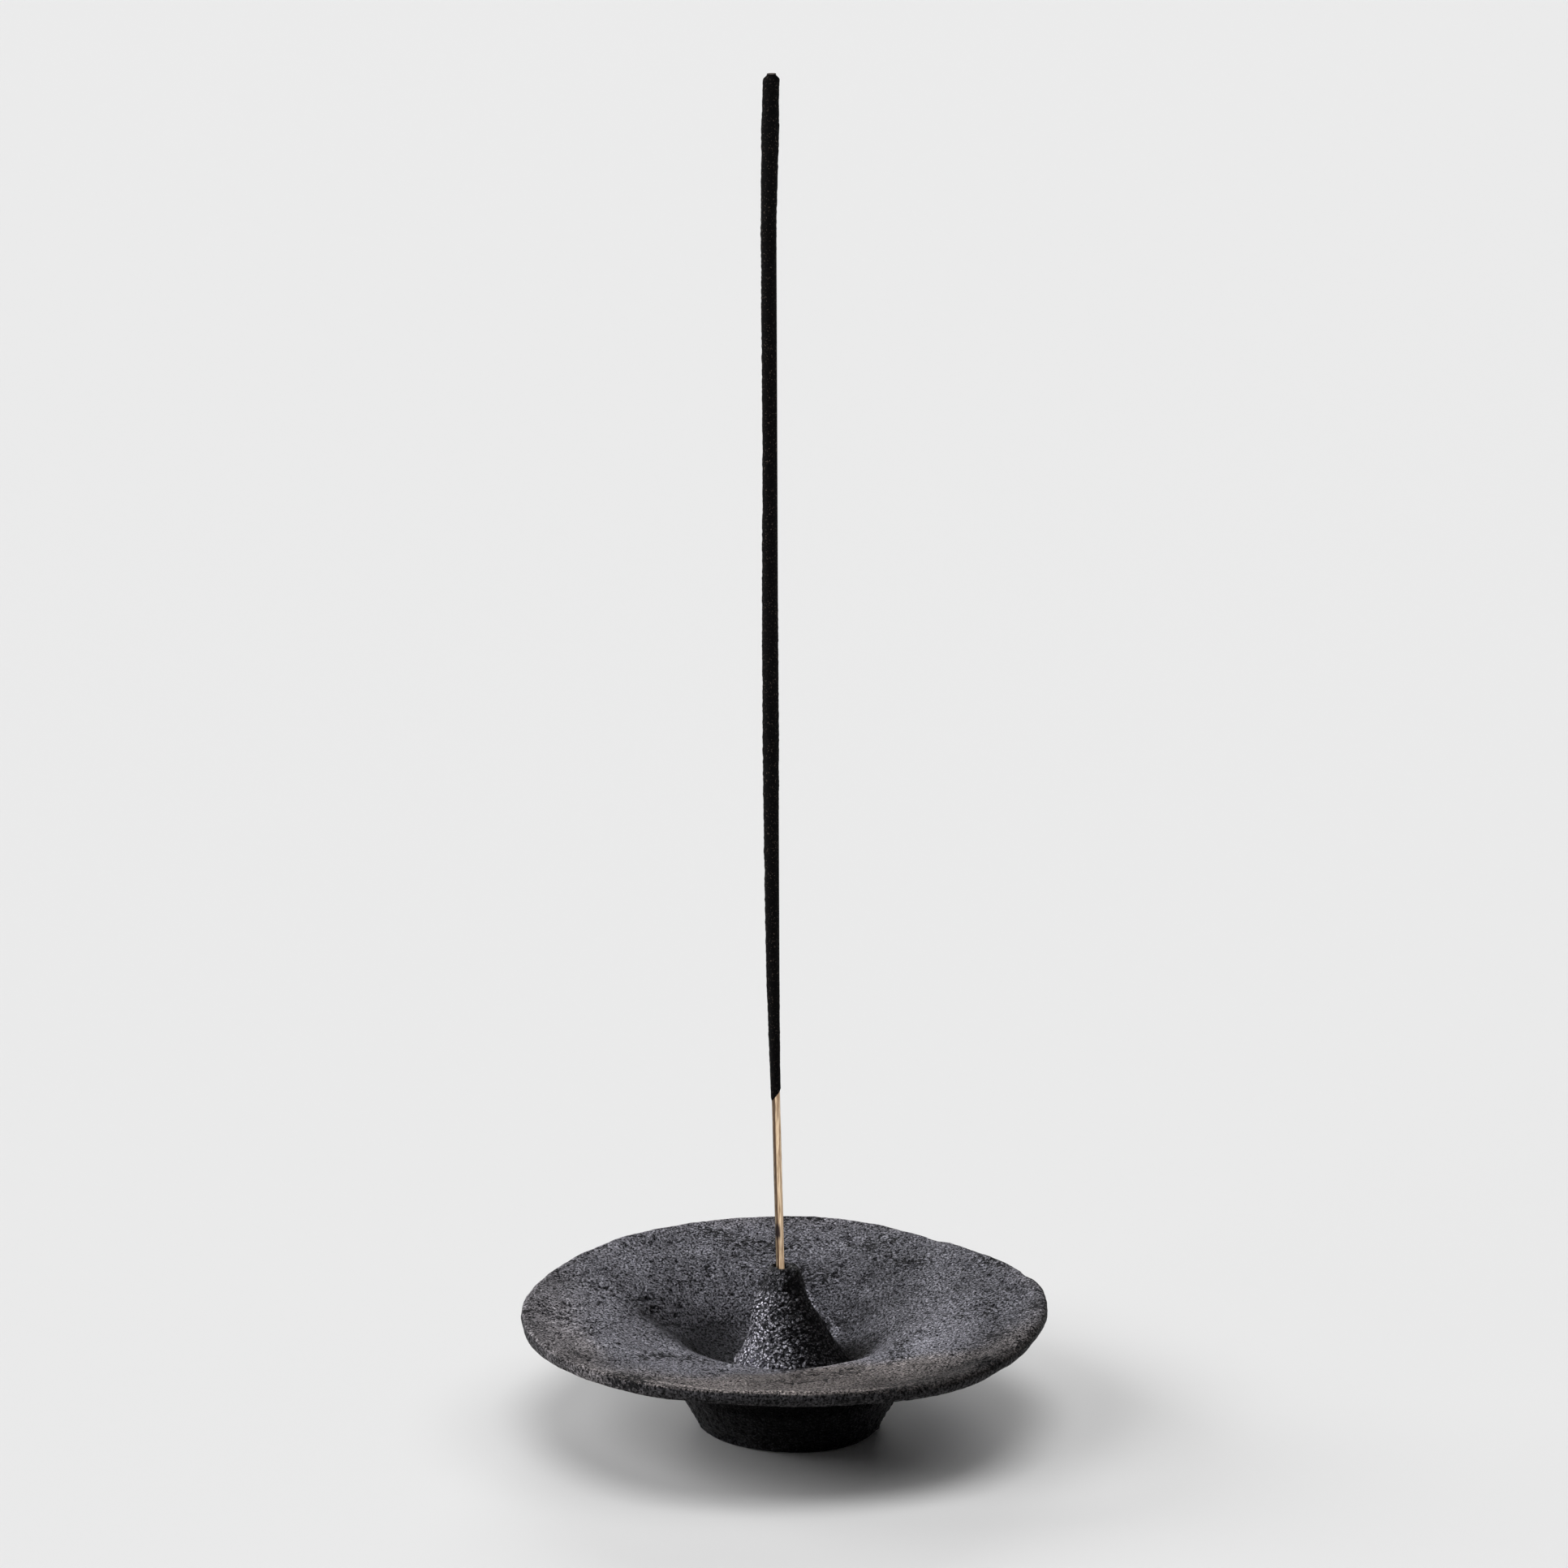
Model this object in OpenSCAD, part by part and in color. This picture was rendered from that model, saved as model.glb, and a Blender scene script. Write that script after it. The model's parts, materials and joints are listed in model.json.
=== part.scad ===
// Hand-built incense burner in blackened, unglazed clay, with its incense stick.
// A wide saucer with a sunken well stands on a short tapering foot. A cone rises
// from the middle of the well, and a narrow hole in its tip holds the stick.
// The clay pieces are formed one by one, luted with soft clay and fired together.
// Frame: +Z up, the table at z = 0, the saucer's axis on the Z axis, millimetres.

/* [Saucer] */
// Mean radius of the rim
rim_r = 46.1; // [38:0.1:56]
// Thickness of the saucer at its rim
rim_t = 2.3; // [1.8:0.1:3]
// Thickness of the flange where it leaves the well
flange_t = 3.8; // [3.1:0.1:4.6]
// How far the flange climbs from the lip of the well to the rim
flange_rise = 4; // [3.3:0.1:4.8]
// Radius of the lip of the well
lip_r = 18.8; // [15.6:0.1:22.6]
// Depth of the well below its lip
well_depth = 7.1; // [5.9:0.1:8.6]
// Thickness of the clay under the well
floor_t = 3.2; // [2.6:0.1:3.9]
// How far the root of the flange reaches past the top of the foot
root_w = 3.4; // [2.8:0.1:4.1]

/* [Foot] */
// Radius of the face that rests on the table
foot_r = 15.4; // [12.8:0.1:18.5]
// Rounding of the foot's lower edge
foot_edge = 0.7; // [0.5:0.1:0.9]
// How much wider the foot is at its top than at its lower edge
foot_flare = 3.5; // [2.9:0.1:4.2]
// Height of the foot
foot_h = 8; // [6.6:0.1:9.6]
// How far the foot stands off the saucer's axis, to the right
foot_offset = 1; // [0:0.1:1.2]

/* [Cone] */
// Height of the cone above the floor of the well
cone_h = 17.8; // [14.8:0.1:21.4]
// Radius of the cone at its foot
cone_r = 7; // [5.8:0.1:8.4]
// Radius of the cone at the shoulder of its tip
tip_r = 3.1; // [2.6:0.1:3.7]
// How far the cone slumps to the right at its foot
cone_slump = 1.6; // [0:0.1:1.9]

/* [Soft clay pressed into the seams] */
// How high the clay is drawn up the cone
cone_coil_h = 8.6; // [7.2:0.1:10.3]
// How far the clay spreads from the cone over the floor of the well
cone_coil_w = 3.4; // [2.8:0.1:4.1]
// How high the clay is drawn up under the saucer
foot_coil_h = 4.4; // [3.7:0.1:5.2]
// Width of the ledge on top of the foot that carries it
foot_coil_w = 1.7; // [1.4:0.1:2]

/* [Stick hole] */
// Thickness of the clay left under the hole, inside the cone
hole_floor_t = 1.4; // [1.2:0.1:4]
// Radial clearance between the bamboo and the hole
hole_gap = 0.4; // [0.33:0.01:0.5]
// Offset of the hole from the saucer's axis, to the left
hole_offset = 0.45; // [0:0.05:0.6]

/* [Incense stick] */
// Length of the whole stick
stick_len = 228.6; // [190:0.1:275]
// Thickness of the bamboo
bamboo_d = 1.5; // [1.25:0.05:1.8]
// Length of bamboo left bare at the lower end
bare_len = 48; // [40:0.5:58]
// Mean thickness of the incense paste, across the stick
coat_d = 2.6; // [2.2:0.05:3.1]
// Lean of the stick in its loose hole, in degrees to the left
stick_lean = 1.4; // [0:0.1:1.6]

/* [Hidden] */

clay = [0.27, 0.27, 0.28];
dark_clay = [0.16, 0.16, 0.165];
bamboo = [0.72, 0.60, 0.45];
paste = [0.08, 0.075, 0.075];

// facets round the clay pieces, round the stick and round true cylinders
sides = 60;
stick_sides = 10;
round_sides = 48;

// Irregularities of hand-formed clay, each [lobes, height of the wave, angle of a crest].
// Angles run anticlockwise seen from above, from +X.
rim_waves = [[1, 0.45, -97], [2, 0.3, -61], [3, 1.15, -29], [4, 0.3, 3], [5, 0.5, 14], [6, 0.35, 10]];
rim_height_waves = [[1, 0.2, 33], [2, 0.12, 8], [3, 0.36, 15]];
lip_waves = [[2, 0.5, 150], [3, 0.3, 20]];
foot_waves = [[2, 0.25, -35], [3, 0.3, -50], [5, 0.15, 10]];

// heights and radii that several pieces share
floor_h = foot_h + floor_t;
lip_h = floor_h + well_depth;
rim_h = lip_h + flange_rise;
tip_h = floor_h + cone_h;
toe_r = cone_r + cone_coil_w;
foot_top_r = foot_r + foot_edge + foot_flare;
seat_r = foot_top_r - foot_coil_w;
root_r = foot_top_r + root_w;
root_h = lip_h - flange_t;

// ---------- numbers ----------
function ease(t) = let (u = min(1, max(0, t))) u * u * (3 - 2 * u);
function mix(a, b, t) = a + (b - a) * t;
function reversed(list) = [for (i = [len(list) - 1 : -1 : 0]) list[i]];
function waves(terms, a) = [for (w = terms) w[1] * cos(w[0] * (a - w[2]))] * [for (w = terms) 1];

// A smooth curve through points, with n steps between each two.
function bend(p0, p1, p2, p3, t) =
    0.5 * (2 * p1 + (p2 - p0) * t + (2 * p0 - 5 * p1 + 4 * p2 - p3) * t * t
           + (3 * p1 - p0 - 3 * p2 + p3) * t * t * t);
function smooth_path(pts, n) = [
    for (i = [0 : len(pts) - 2], k = [0 : n - 1])
        bend(pts[max(i - 1, 0)], pts[i], pts[i + 1], pts[min(i + 2, len(pts) - 1)], k / n),
    pts[len(pts) - 1]
];

// ---------- hand forming ----------
// Where a point [radius, height] of the true round shape goes at angle a. Every clay
// piece is bent by this one rule, so faces that meet still meet.
settle_w = 3;
function hand(p, a) =
    let (
        on_rim = ease((p[0] - root_r) / (rim_r - root_r)),
        on_lip = ease((p[1] - floor_h) / well_depth) * ease((p[0] - toe_r) / settle_w) * (1 - on_rim),
        on_foot = 1 - ease((p[1] - foot_h) / floor_t),
        inside_well = p[1] > floor_h - 0.01 ? 1 - ease((p[0] - toe_r) / settle_w) : 0,
        slump = inside_well * cone_slump * pow(max(0, tip_h - p[1]) / cone_h, 1.6),
        r = p[0] + on_rim * waves(rim_waves, a) + on_lip * waves(lip_waves, a)
            + on_foot * p[0] / foot_top_r * waves(foot_waves, a)
    )
    [r * cos(a) + on_foot * foot_offset + slump, r * sin(a), p[1] + on_rim * waves(rim_height_waves, a)];

// The faces of a skin over rings of n points. A closed loop joins its last ring to its
// first; otherwise the end rings are capped.
function skin(rings, n, looped) =
    let (
        at = function(i, j) (i % rings) * n + j % n,
        walls = [
            for (i = [0 : looped ? rings - 1 : rings - 2], j = [0 : n - 1])
                each [
                    [at(i, j), at(i + 1, j), at(i + 1, j + 1)],
                    [at(i, j), at(i + 1, j + 1), at(i, j + 1)]
                ]
        ],
        ends = [
            [for (j = [0 : n - 1]) at(0, j)],
            [for (j = [n - 1 : -1 : 0]) at(rings - 1, j)]
        ]
    )
    looped ? [for (f = walls) reversed(f)] : concat(ends, walls);

// A clay solid with this profile, a list of [radius, height] from the bottom up.
module formed(profile, looped = false) {
    points = [for (p = profile, j = [0 : sides - 1]) hand(p, 360 * j / sides)];
    polyhedron(points, skin(len(profile), sides, looped));
}

// ---------- profiles ----------
// The flange's upper face, from 0 at the lip to 1 at the rim: it climbs steeply out of
// the well, then runs out nearly level to a slight bead along the rim.
bead_h = 0.25;
edge_in = 0.7;
function flange_top(u) = [
    mix(lip_r, rim_r - edge_in, u),
    lip_h + (flange_rise - bead_h) * (1 - pow(1 - u, 2.2)) + bead_h * ease((u - 0.86) / 0.14)
];
function flange_under(u) = [
    mix(root_r, rim_r - edge_in, u),
    mix(root_h, rim_h - rim_t, 1 - pow(1 - u, 1.8))
];

// The saucer's outer wall just above the foot, where the seam clay is pressed on.
wall_seam = smooth_path([
    [seat_r, foot_h],
    [mix(seat_r, root_r, 0.14), foot_h + foot_coil_h * 0.45],
    [mix(seat_r, root_r, 0.4), foot_h + foot_coil_h]
], 2);

rim_edge = [
    [rim_r - edge_in, rim_h - rim_t],
    [rim_r - 0.2, rim_h - rim_t * 0.8],
    [rim_r, rim_h - rim_t * 0.5],
    [rim_r - 0.1, rim_h - rim_t * 0.2],
    [rim_r - edge_in, rim_h]
];

well_wall = smooth_path([
    [toe_r, floor_h],
    [mix(toe_r, lip_r, 0.26), mix(floor_h, lip_h, 0.06)],
    [mix(toe_r, lip_r, 0.52), mix(floor_h, lip_h, 0.32)],
    [mix(toe_r, lip_r, 0.76), mix(floor_h, lip_h, 0.70)],
    [lip_r, lip_h],
    flange_top(0.1)
], 2);

dish_profile = concat(
    wall_seam,
    [for (u = [0.02, 0.1, 0.22, 0.38, 0.56, 0.78]) flange_under(u)],
    rim_edge,
    [for (u = [0.94, 0.88, 0.76, 0.6, 0.42, 0.24]) flange_top(u)],
    reversed(well_wall)
);

foot_profile = [
    [foot_r, 0],
    [foot_r + foot_edge * 0.7, foot_edge * 0.3],
    [foot_r + foot_edge, foot_edge],
    [foot_r + foot_edge + foot_flare * 0.36, mix(foot_edge, foot_h, 0.3)],
    [foot_r + foot_edge + foot_flare * 0.7, mix(foot_edge, foot_h, 0.62)],
    [foot_top_r, foot_h]
];

// The cone's side: the stretch that the seam clay covers, then up to the rounded tip.
tip_round = 3;
neck_r = tip_r + 0.9;
coil_top_r = mix(cone_r, neck_r, cone_coil_h / (cone_h - tip_round));
cone_seam = [
    for (t = [0, 0.3, 0.6, 0.82, 1])
        [mix(cone_r, coil_top_r, t), floor_h + cone_coil_h * t]
];
cone_profile = concat(
    cone_seam,
    [
        [mix(coil_top_r, neck_r, 0.5), mix(floor_h + cone_coil_h, tip_h - tip_round, 0.5)],
        [neck_r, tip_h - tip_round],
        [mix(neck_r, tip_r, 0.6), tip_h - tip_round * 0.45],
        [tip_r, tip_h - tip_round * 0.17],
        [tip_r - tip_round * 0.17, tip_h]
    ]
);

// ---------- clay pieces ----------
module dish() {
    color(clay) formed(dish_profile);
}

module foot() {
    color(dark_clay) formed(foot_profile);
}

module foot_luting_coil() {
    top = wall_seam[len(wall_seam) - 1];
    hollow = [
        [mix(foot_top_r, top[0], 0.62), mix(foot_h, top[1], 0.62)],
        [mix(foot_top_r, top[0], 0.26), mix(foot_h, top[1], 0.3)]
    ];
    color(dark_clay) formed(concat(wall_seam, hollow, [[foot_top_r, foot_h]]), looped = true);
}

hole_r = bamboo_d / 2 + hole_gap;
hole_depth = cone_h - hole_floor_t;
module stick_cone() {
    // the mouth of the hole, widened by the finger that opened it
    mouth_w = 0.8;
    mouth_h = 0.5;
    color(dark_clay)
        difference() {
            formed(cone_profile);
            translate([-hole_offset, 0, tip_h - hole_depth])
                cylinder(r = hole_r, h = hole_depth + 1, $fn = round_sides);
            translate([-hole_offset, 0, tip_h - mouth_h])
                cylinder(r1 = hole_r, r2 = hole_r + 2 * mouth_w, h = 2 * mouth_h, $fn = round_sides);
        }
}

module cone_luting_coil() {
    flare = [
        [mix(cone_r, toe_r, -0.16), floor_h + cone_coil_h * 0.78],
        [mix(cone_r, toe_r, 0.12), floor_h + cone_coil_h * 0.54],
        [mix(cone_r, toe_r, 0.46), floor_h + cone_coil_h * 0.32],
        [mix(cone_r, toe_r, 0.8), floor_h + cone_coil_h * 0.11]
    ];
    color(dark_clay) formed(concat(cone_seam, flare, [[toe_r, floor_h]]), looped = true);
}

// ---------- incense stick ----------
// The stick is drawn upright from its lower end, then leaned in the hole.
core_r = bamboo_d / 2;
straight_len = bare_len + 10;

// Sideways bow of the stick at a height above its lower end: it straightens up by this
// angle over this length above the bare end, and its last share turns back by this much.
bow_angle = 1.15;
bow_len = 40;
hook_share = 0.2;
hook_out = 0.7;
function bow(h) =
    let (
        over = max(0, h - straight_len),
        rise = over < bow_len ? over * over / (2 * bow_len) : over - bow_len / 2,
        late = max(0, h / stick_len - (1 - hook_share)) / hook_share
    )
    tan(bow_angle) * rise + hook_out * late * late;

// Radius of the paste at a height: it starts as a thin skin over the bamboo, builds up
// over its first stretch, then swells and shrinks slowly where it dried.
skin_t = 0.12;
build_up_len = 36;
lead_in = 3;
swell = 0.09;
swell_len = 98;
first_swell = 75;
function coat_r(h) =
    let (
        over = h - bare_len,
        full = coat_d / 2 * (1 + swell * cos(360 * (over - first_swell) / swell_len))
    )
    mix(core_r + skin_t, full, ease((over + lead_in) / build_up_len));

// A solid swept up the stick's bow, with these radii at these heights.
module swept(radii, heights) {
    points = [
        for (i = [0 : len(heights) - 1], j = [0 : stick_sides - 1])
            [bow(heights[i]) + radii[i] * cos(360 * j / stick_sides),
             radii[i] * sin(360 * j / stick_sides), heights[i]]
    ];
    polyhedron(points, skin(len(heights), stick_sides, false));
}

// From upright at the origin to leaning across the hole, its end on the hole's floor.
module leaned() {
    across = hole_depth / 2 * tan(stick_lean);
    rest_gap = 0.01;
    translate([across - hole_offset, 0, tip_h - hole_depth + core_r * sin(stick_lean) + rest_gap])
        rotate([0, -stick_lean, 0]) children();
}

// The bamboo, true to size along the straight end that slides in the hole.
module splint() {
    upper = concat([for (h = [straight_len - 1 : 10 : stick_len - 5]) h], [stick_len]);
    cylinder(r = core_r, h = straight_len, $fn = round_sides);
    swept([for (h = upper) core_r * 0.98], upper);
}

module bamboo_core() {
    color(bamboo) leaned() splint();
}

module incense_paste() {
    heights = concat([for (h = [bare_len : 4.5 : stick_len - 3]) h], [stick_len]);
    color(paste)
        leaned()
            difference() {
                swept([for (h = heights) coat_r(h)], heights);
                splint();
            }
}

dish();
foot();
foot_luting_coil();
stick_cone();
cone_luting_coil();
bamboo_core();
incense_paste();
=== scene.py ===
import json
import math

import bpy
import numpy as np
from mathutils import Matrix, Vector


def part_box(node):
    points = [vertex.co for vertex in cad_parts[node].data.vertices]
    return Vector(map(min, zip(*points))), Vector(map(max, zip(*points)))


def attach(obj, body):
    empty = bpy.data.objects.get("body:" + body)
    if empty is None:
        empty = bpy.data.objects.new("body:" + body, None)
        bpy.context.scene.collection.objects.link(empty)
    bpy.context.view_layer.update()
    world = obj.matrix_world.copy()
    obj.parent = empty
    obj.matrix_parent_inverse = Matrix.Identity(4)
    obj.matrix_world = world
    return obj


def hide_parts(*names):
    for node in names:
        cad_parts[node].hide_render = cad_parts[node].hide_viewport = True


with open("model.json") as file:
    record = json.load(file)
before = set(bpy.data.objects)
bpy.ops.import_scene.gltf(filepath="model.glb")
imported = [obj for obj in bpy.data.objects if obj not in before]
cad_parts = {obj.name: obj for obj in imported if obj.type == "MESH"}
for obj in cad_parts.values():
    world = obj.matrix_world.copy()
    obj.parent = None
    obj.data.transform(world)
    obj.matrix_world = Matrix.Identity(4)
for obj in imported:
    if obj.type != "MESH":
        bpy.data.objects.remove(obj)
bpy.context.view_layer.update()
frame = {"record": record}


# ---------------------------------------------------------------------------------------------
# The foot: a short drum of coarse clay, wider at its top, cut flat where it stands. It was patted
# round by hand and fired in smoke, which left it almost black, with a rough, pebbled side.
# ---------------------------------------------------------------------------------------------
MM = 0.001                       # every size below is in millimetres
TURNS = 640                      # points round each clay ring


def ease(t):
    """0 before 0, 1 after 1, and a smooth rise between."""
    t = np.clip(t, 0.0, 1.0)
    return t * t * (3 - 2 * t)


def mix(a, b, t):
    return a + (b - a) * t


def lumps(points, size, seed):
    """Soft, fixed, random lumps about this many millimetres across, from about -1 to 1."""
    cell = points / size + seed * 17.3
    base = np.floor(cell)
    part = cell - base
    fade = part ** 3 * (part * (part * 6 - 15) + 10)
    total = np.zeros(points.shape[:-1])
    for corner in np.ndindex(2, 2, 2):
        at = (base + corner).astype(np.int64)
        mixed = at[..., 0] * 73856093 ^ at[..., 1] * 19349663 ^ at[..., 2] * 83492791
        mixed = (mixed ^ (mixed >> 13)) * 1274126177 & 0x7FFFFFFF
        mixed = (mixed ^ (mixed >> 15)) * 668265263 & 0x7FFFFFFF
        slopes = np.stack([(mixed >> shift & 1023) / 511.5 - 1 for shift in (0, 10, 20)], axis=-1)
        weight = np.prod(np.where(corner, fade, 1 - fade), axis=-1)
        total += weight * np.sum(slopes * (part - corner), axis=-1)
    return total * 1.6


def smooth_rings(outline, comes_from=None, goes_to=None):
    """Rings along a smooth curve through an outline of (radius, height, rings to the next point).
    comes_from and goes_to are the neighbouring piece's nearest points, so that the two surfaces
    run into each other. Gives each ring's radius and height, and which way its surface faces."""
    places = np.array([point[:2] for point in outline], float)
    first = places[0] * 2 - places[1] if comes_from is None else comes_from
    last = places[-1] * 2 - places[-2] if goes_to is None else goes_to
    steps = np.diff(np.vstack([first, places, last]), axis=0)
    lengths = np.linalg.norm(steps, axis=1)[:, None]
    before, after = lengths[:-1], lengths[1:]
    aims = (steps[:-1] / before * after + steps[1:] / after * before) / (before + after)
    rings, facings = [], []
    for i, point in enumerate(outline[:-1]):
        count = point[2] + (1 if i == len(outline) - 2 else 0)
        t = (np.arange(count) / point[2])[:, None]
        a, b, u, v = places[i], places[i + 1], aims[i] * after[i], aims[i + 1] * after[i]
        rings.append((2 * t**3 - 3 * t**2 + 1) * a + (t**3 - 2 * t**2 + t) * u
                     + (3 * t**2 - 2 * t**3) * b + (t**3 - t**2) * v)
        run = ((6 * t**2 - 6 * t) * (a - b) + (3 * t**2 - 4 * t + 1) * u + (3 * t**2 - 2 * t) * v)
        facings.append(np.stack([run[:, 1], -run[:, 0]], axis=1))
    facings = np.vstack(facings)
    facings /= np.linalg.norm(facings, axis=1)[:, None]
    return np.vstack(rings)[:, None], facings[:, None]


# The sizes that the clay pieces share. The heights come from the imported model.
foot_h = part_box("foot")[1].z / MM
floor_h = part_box("stick_cone")[0].z / MM
tip_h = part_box("stick_cone")[1].z / MM
well_depth = 7.1                 # from its lip down to its floor
foot_top_r = 19.6
root_r = 23.0                    # where the flange springs from the wall of the well
rim_r = 46.1
toe_r = 10.4                     # how far the cone's seam clay spreads over the floor
settle_w = 3                     # beyond it the cone's bending dies away over this width
foot_offset = 1.0                # the foot stands off the axis, to the right
cone_slump = 1.6                 # the cone's foot sagged to the right
cone_belly = 0.65                # and its side bulges to the left
hole_r = 1.15
hole_depth = 16.4
hole_offset = 0.45               # the hole lies off the axis, to the left

# How far hand forming leaves each part from round: (lobes, height of the wave, angle of a crest).
RIM_WAVES = [(1, 0.45, -97), (2, 0.3, -61), (3, 1.15, -29), (4, 0.3, 3), (5, 0.5, 14), (6, 0.35, 10)]
RIM_HEIGHT_WAVES = [(1, 0.2, 33), (2, 0.12, 8), (3, 0.36, 15)]
LIP_WAVES = [(2, 0.5, 150), (3, 0.3, 20)]
FOOT_WAVES = [(2, 0.25, -35), (3, 0.3, -50), (5, 0.15, 10)]


def waves(terms, angle):
    return sum(height * np.cos(lobes * (angle - math.radians(crest))) for lobes, height, crest in terms)


def hand_formed(rings):
    """The rings as points round the burner, bent from round by the rule that the CAD pieces follow."""
    angle = np.arange(TURNS) * 2 * math.pi / TURNS
    r, z = rings[..., 0], rings[..., 1]
    on_rim = ease((r - root_r) / (rim_r - root_r))
    on_lip = ease((z - floor_h) / well_depth) * ease((r - toe_r) / settle_w) * (1 - on_rim)
    on_foot = 1 - ease((z - foot_h) / (floor_h - foot_h))
    in_well = np.where(z > floor_h - 0.01, 1 - ease((r - toe_r) / settle_w), 0)
    in_hole = in_well * (1 - ease((r - hole_r - 0.1) / 1.4))
    slump = cone_slump * (np.maximum(0, tip_h - z) / (tip_h - floor_h)) ** 1.6
    belly = cone_belly * np.exp(-((z - tip_h + 6.5) / 3.2) ** 2)
    shift = in_well * (1 - in_hole) * (slump - belly) - in_hole * hole_offset + on_foot * foot_offset
    out = (r + on_rim * waves(RIM_WAVES, angle) + on_lip * waves(LIP_WAVES, angle)
           + on_foot * r / foot_top_r * waves(FOOT_WAVES, angle))
    return np.stack([out * np.cos(angle) + shift, out * np.sin(angle),
                     z + on_rim * waves(RIM_HEIGHT_WAVES, angle)], axis=-1)


def near(turn, middle, half_width):
    """1 on this side of the burner, easing to 0 at half_width degrees round from it."""
    away = np.abs((turn - middle + 180) % 360 - 180)
    return 1 - ease(away / half_width)


def stroke(points, path, half_width):
    """1 along a path drawn by a fingertip over the burner, as (x, y) places, easing to 0 beside it."""
    nearest = np.full(points.shape[:-1], 99.0)
    for start, end in zip(path[:-1], path[1:]):
        step = np.subtract(end, start)
        along = np.clip((points[..., :2] - start) @ step / (step @ step), 0, 1)[..., None]
        nearest = np.minimum(nearest, np.linalg.norm(points[..., :2] - start - along * step, axis=-1))
    return 1 - ease(nearest / half_width)


# The curl of clay that a fingertip scraped up at the right of the cone, as (x, y) places along it.
CURL = [(3.7, 22.8), (5.7, 17.5), (6.7, 13.6), (8.1, 10.4), (9.1, 10.2), (9.6, 11.6), (8.1, 15.0)]


def finger_marks(points, r, z, turn):
    """How far the marks of the maker's fingers stand proud of the clay, or lie below it."""
    x, y = points[..., 0], points[..., 1]
    dent = -0.8 * np.exp(-((x + 21) ** 2 + (y - 8) ** 2) / 4.6 ** 2)
    drag_r = mix(27.8, 24.0, (turn % 360 - 197) / 27)
    drag = -0.28 * np.exp(-((r - drag_r) / 0.9) ** 2) * near(turn, 210, 19)
    nick = -0.3 * ease((r - 43) / 2) * near(turn, 50, 5) - 0.3 * ease((r - 44) / 2) * near(turn, 17, 4)
    curl = 0.3 * stroke(points, CURL, 1.3) * (z > floor_h) * (r > 11)
    worn_corner = -0.9 * near(turn, -128, 26) * (1 - ease((z - 0.4) / 3.2)) * ease((r - 13.5) / 2)
    return (dent + drag) * (z > floor_h + 1) * (r < 40) + curl + nick + worn_corner * (z < foot_h)


def smear(r, z, turn):
    """Where a thumb drew smooth clay down the back of the cone, from 0 to 1."""
    return near(turn, 55, 40) * ease((tip_h - 3 - z) / 3) * (1 - ease((r - 9.5) / 2.5))


def roughened(points, rings, facings):
    """Clay points pushed in and out by the texture of their part of the burner. Also gives how deep
    each point lies in a pit or crack, from 0 to 1, which with the creases between the cone's grains
    sets its painted shade. The top of the cone's mouth is darkened by it as well."""
    r = np.broadcast_to(rings[..., 0], points.shape[:-1])
    z = np.broadcast_to(rings[..., 1], points.shape[:-1])
    turn = np.degrees(np.arctan2(points[..., 1], points[..., 0]))
    thumbed = smear(r, z, turn)
    on_cone = (1 - ease((r - 9.0) / 6.0)) * ease((z - floor_h + 0.5) / 1.0)
    on_foot = 1 - ease((z - foot_h - 2.2) / 3.0)
    on_flange = np.clip(1 - on_cone - on_foot, 0, 1)
    pressed = 0.26 * lumps(points, 11.0, 1) + 0.13 * lumps(points, 4.5, 2)
    tooth = 0.05 * lumps(points, 1.5, 3) + 0.035 * lumps(points, 0.8, 4)
    grains = np.abs(lumps(points, 1.15, 5))
    pebbles = 0.3 * grains + 0.12 * np.abs(lumps(points, 0.62, 6)) - 0.1
    coarse = 0.30 * np.abs(lumps(points, 2.0, 7)) + 0.16 * lumps(points, 0.9, 8) - 0.08
    backward = 0.5 + 0.5 * near(turn, 110, 130)
    pit_here = lumps(points, 1.3, 9) + 0.5 * lumps(points, 7.0, 10)
    pits = ease((pit_here - 0.68 + 0.14 * backward) / 0.2)
    crack_here = ease((lumps(points, 6.0, 11) + 0.25 * backward - 0.28) / 0.15)
    cracks = (1 - ease(np.abs(lumps(points, 2.4, 12)) / 0.06)) * crack_here
    hollow = np.maximum(pits, cracks) * on_flange * ease((r - 19) / 4) * (1 - ease((r - 44.5) / 1))
    # The top of the cone's mouth is painted dark.
    mouth = 0.75 * ease((z - tip_h + 0.4) / 0.4)
    # Painted shade in the creases between the cone's grains.
    creased = np.maximum((1 - ease(grains / 0.16)) * (1 - thumbed), mouth) * on_cone
    push = (pressed * (0.4 + 0.6 * on_flange) + tooth * on_flange + pebbles * on_cone * (1 - 0.85 * thumbed)
            + coarse * on_foot - 0.32 * hollow + finger_marks(points, r, z, turn)
            + thumbed * 0.4 * ease((z - floor_h) / 2))
    push = push * ease(z / 0.7) * ease((r - hole_r - 0.05) / 0.5)
    out = np.maximum(np.hypot(points[..., 0], points[..., 1]), 1e-6)
    facing = np.stack([facings[..., 0] * points[..., 0] / out, facings[..., 0] * points[..., 1] / out,
                       np.broadcast_to(facings[..., 1], out.shape)], axis=-1)
    formed = points + facing * push[..., None]
    formed[..., 2] = np.maximum(formed[..., 2], 0)
    return formed, np.maximum(hollow, creased)


def seam_normals(ring, facing):
    """Which way the rough clay faces along a ring where two pieces meet, so that both shade alike."""
    along = np.stack([-facing[..., 1], facing[..., 0]], axis=-1) * 0.12
    behind, ahead = (roughened(hand_formed(ring + along * side), ring + along * side, facing)[0]
                     for side in (-1, 1))
    here = roughened(hand_formed(ring), ring, facing)[0]
    across = np.cross(np.roll(here, -1, axis=0) - np.roll(here, 1, axis=0), ahead - behind)
    return across / np.linalg.norm(across, axis=-1)[:, None]


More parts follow.
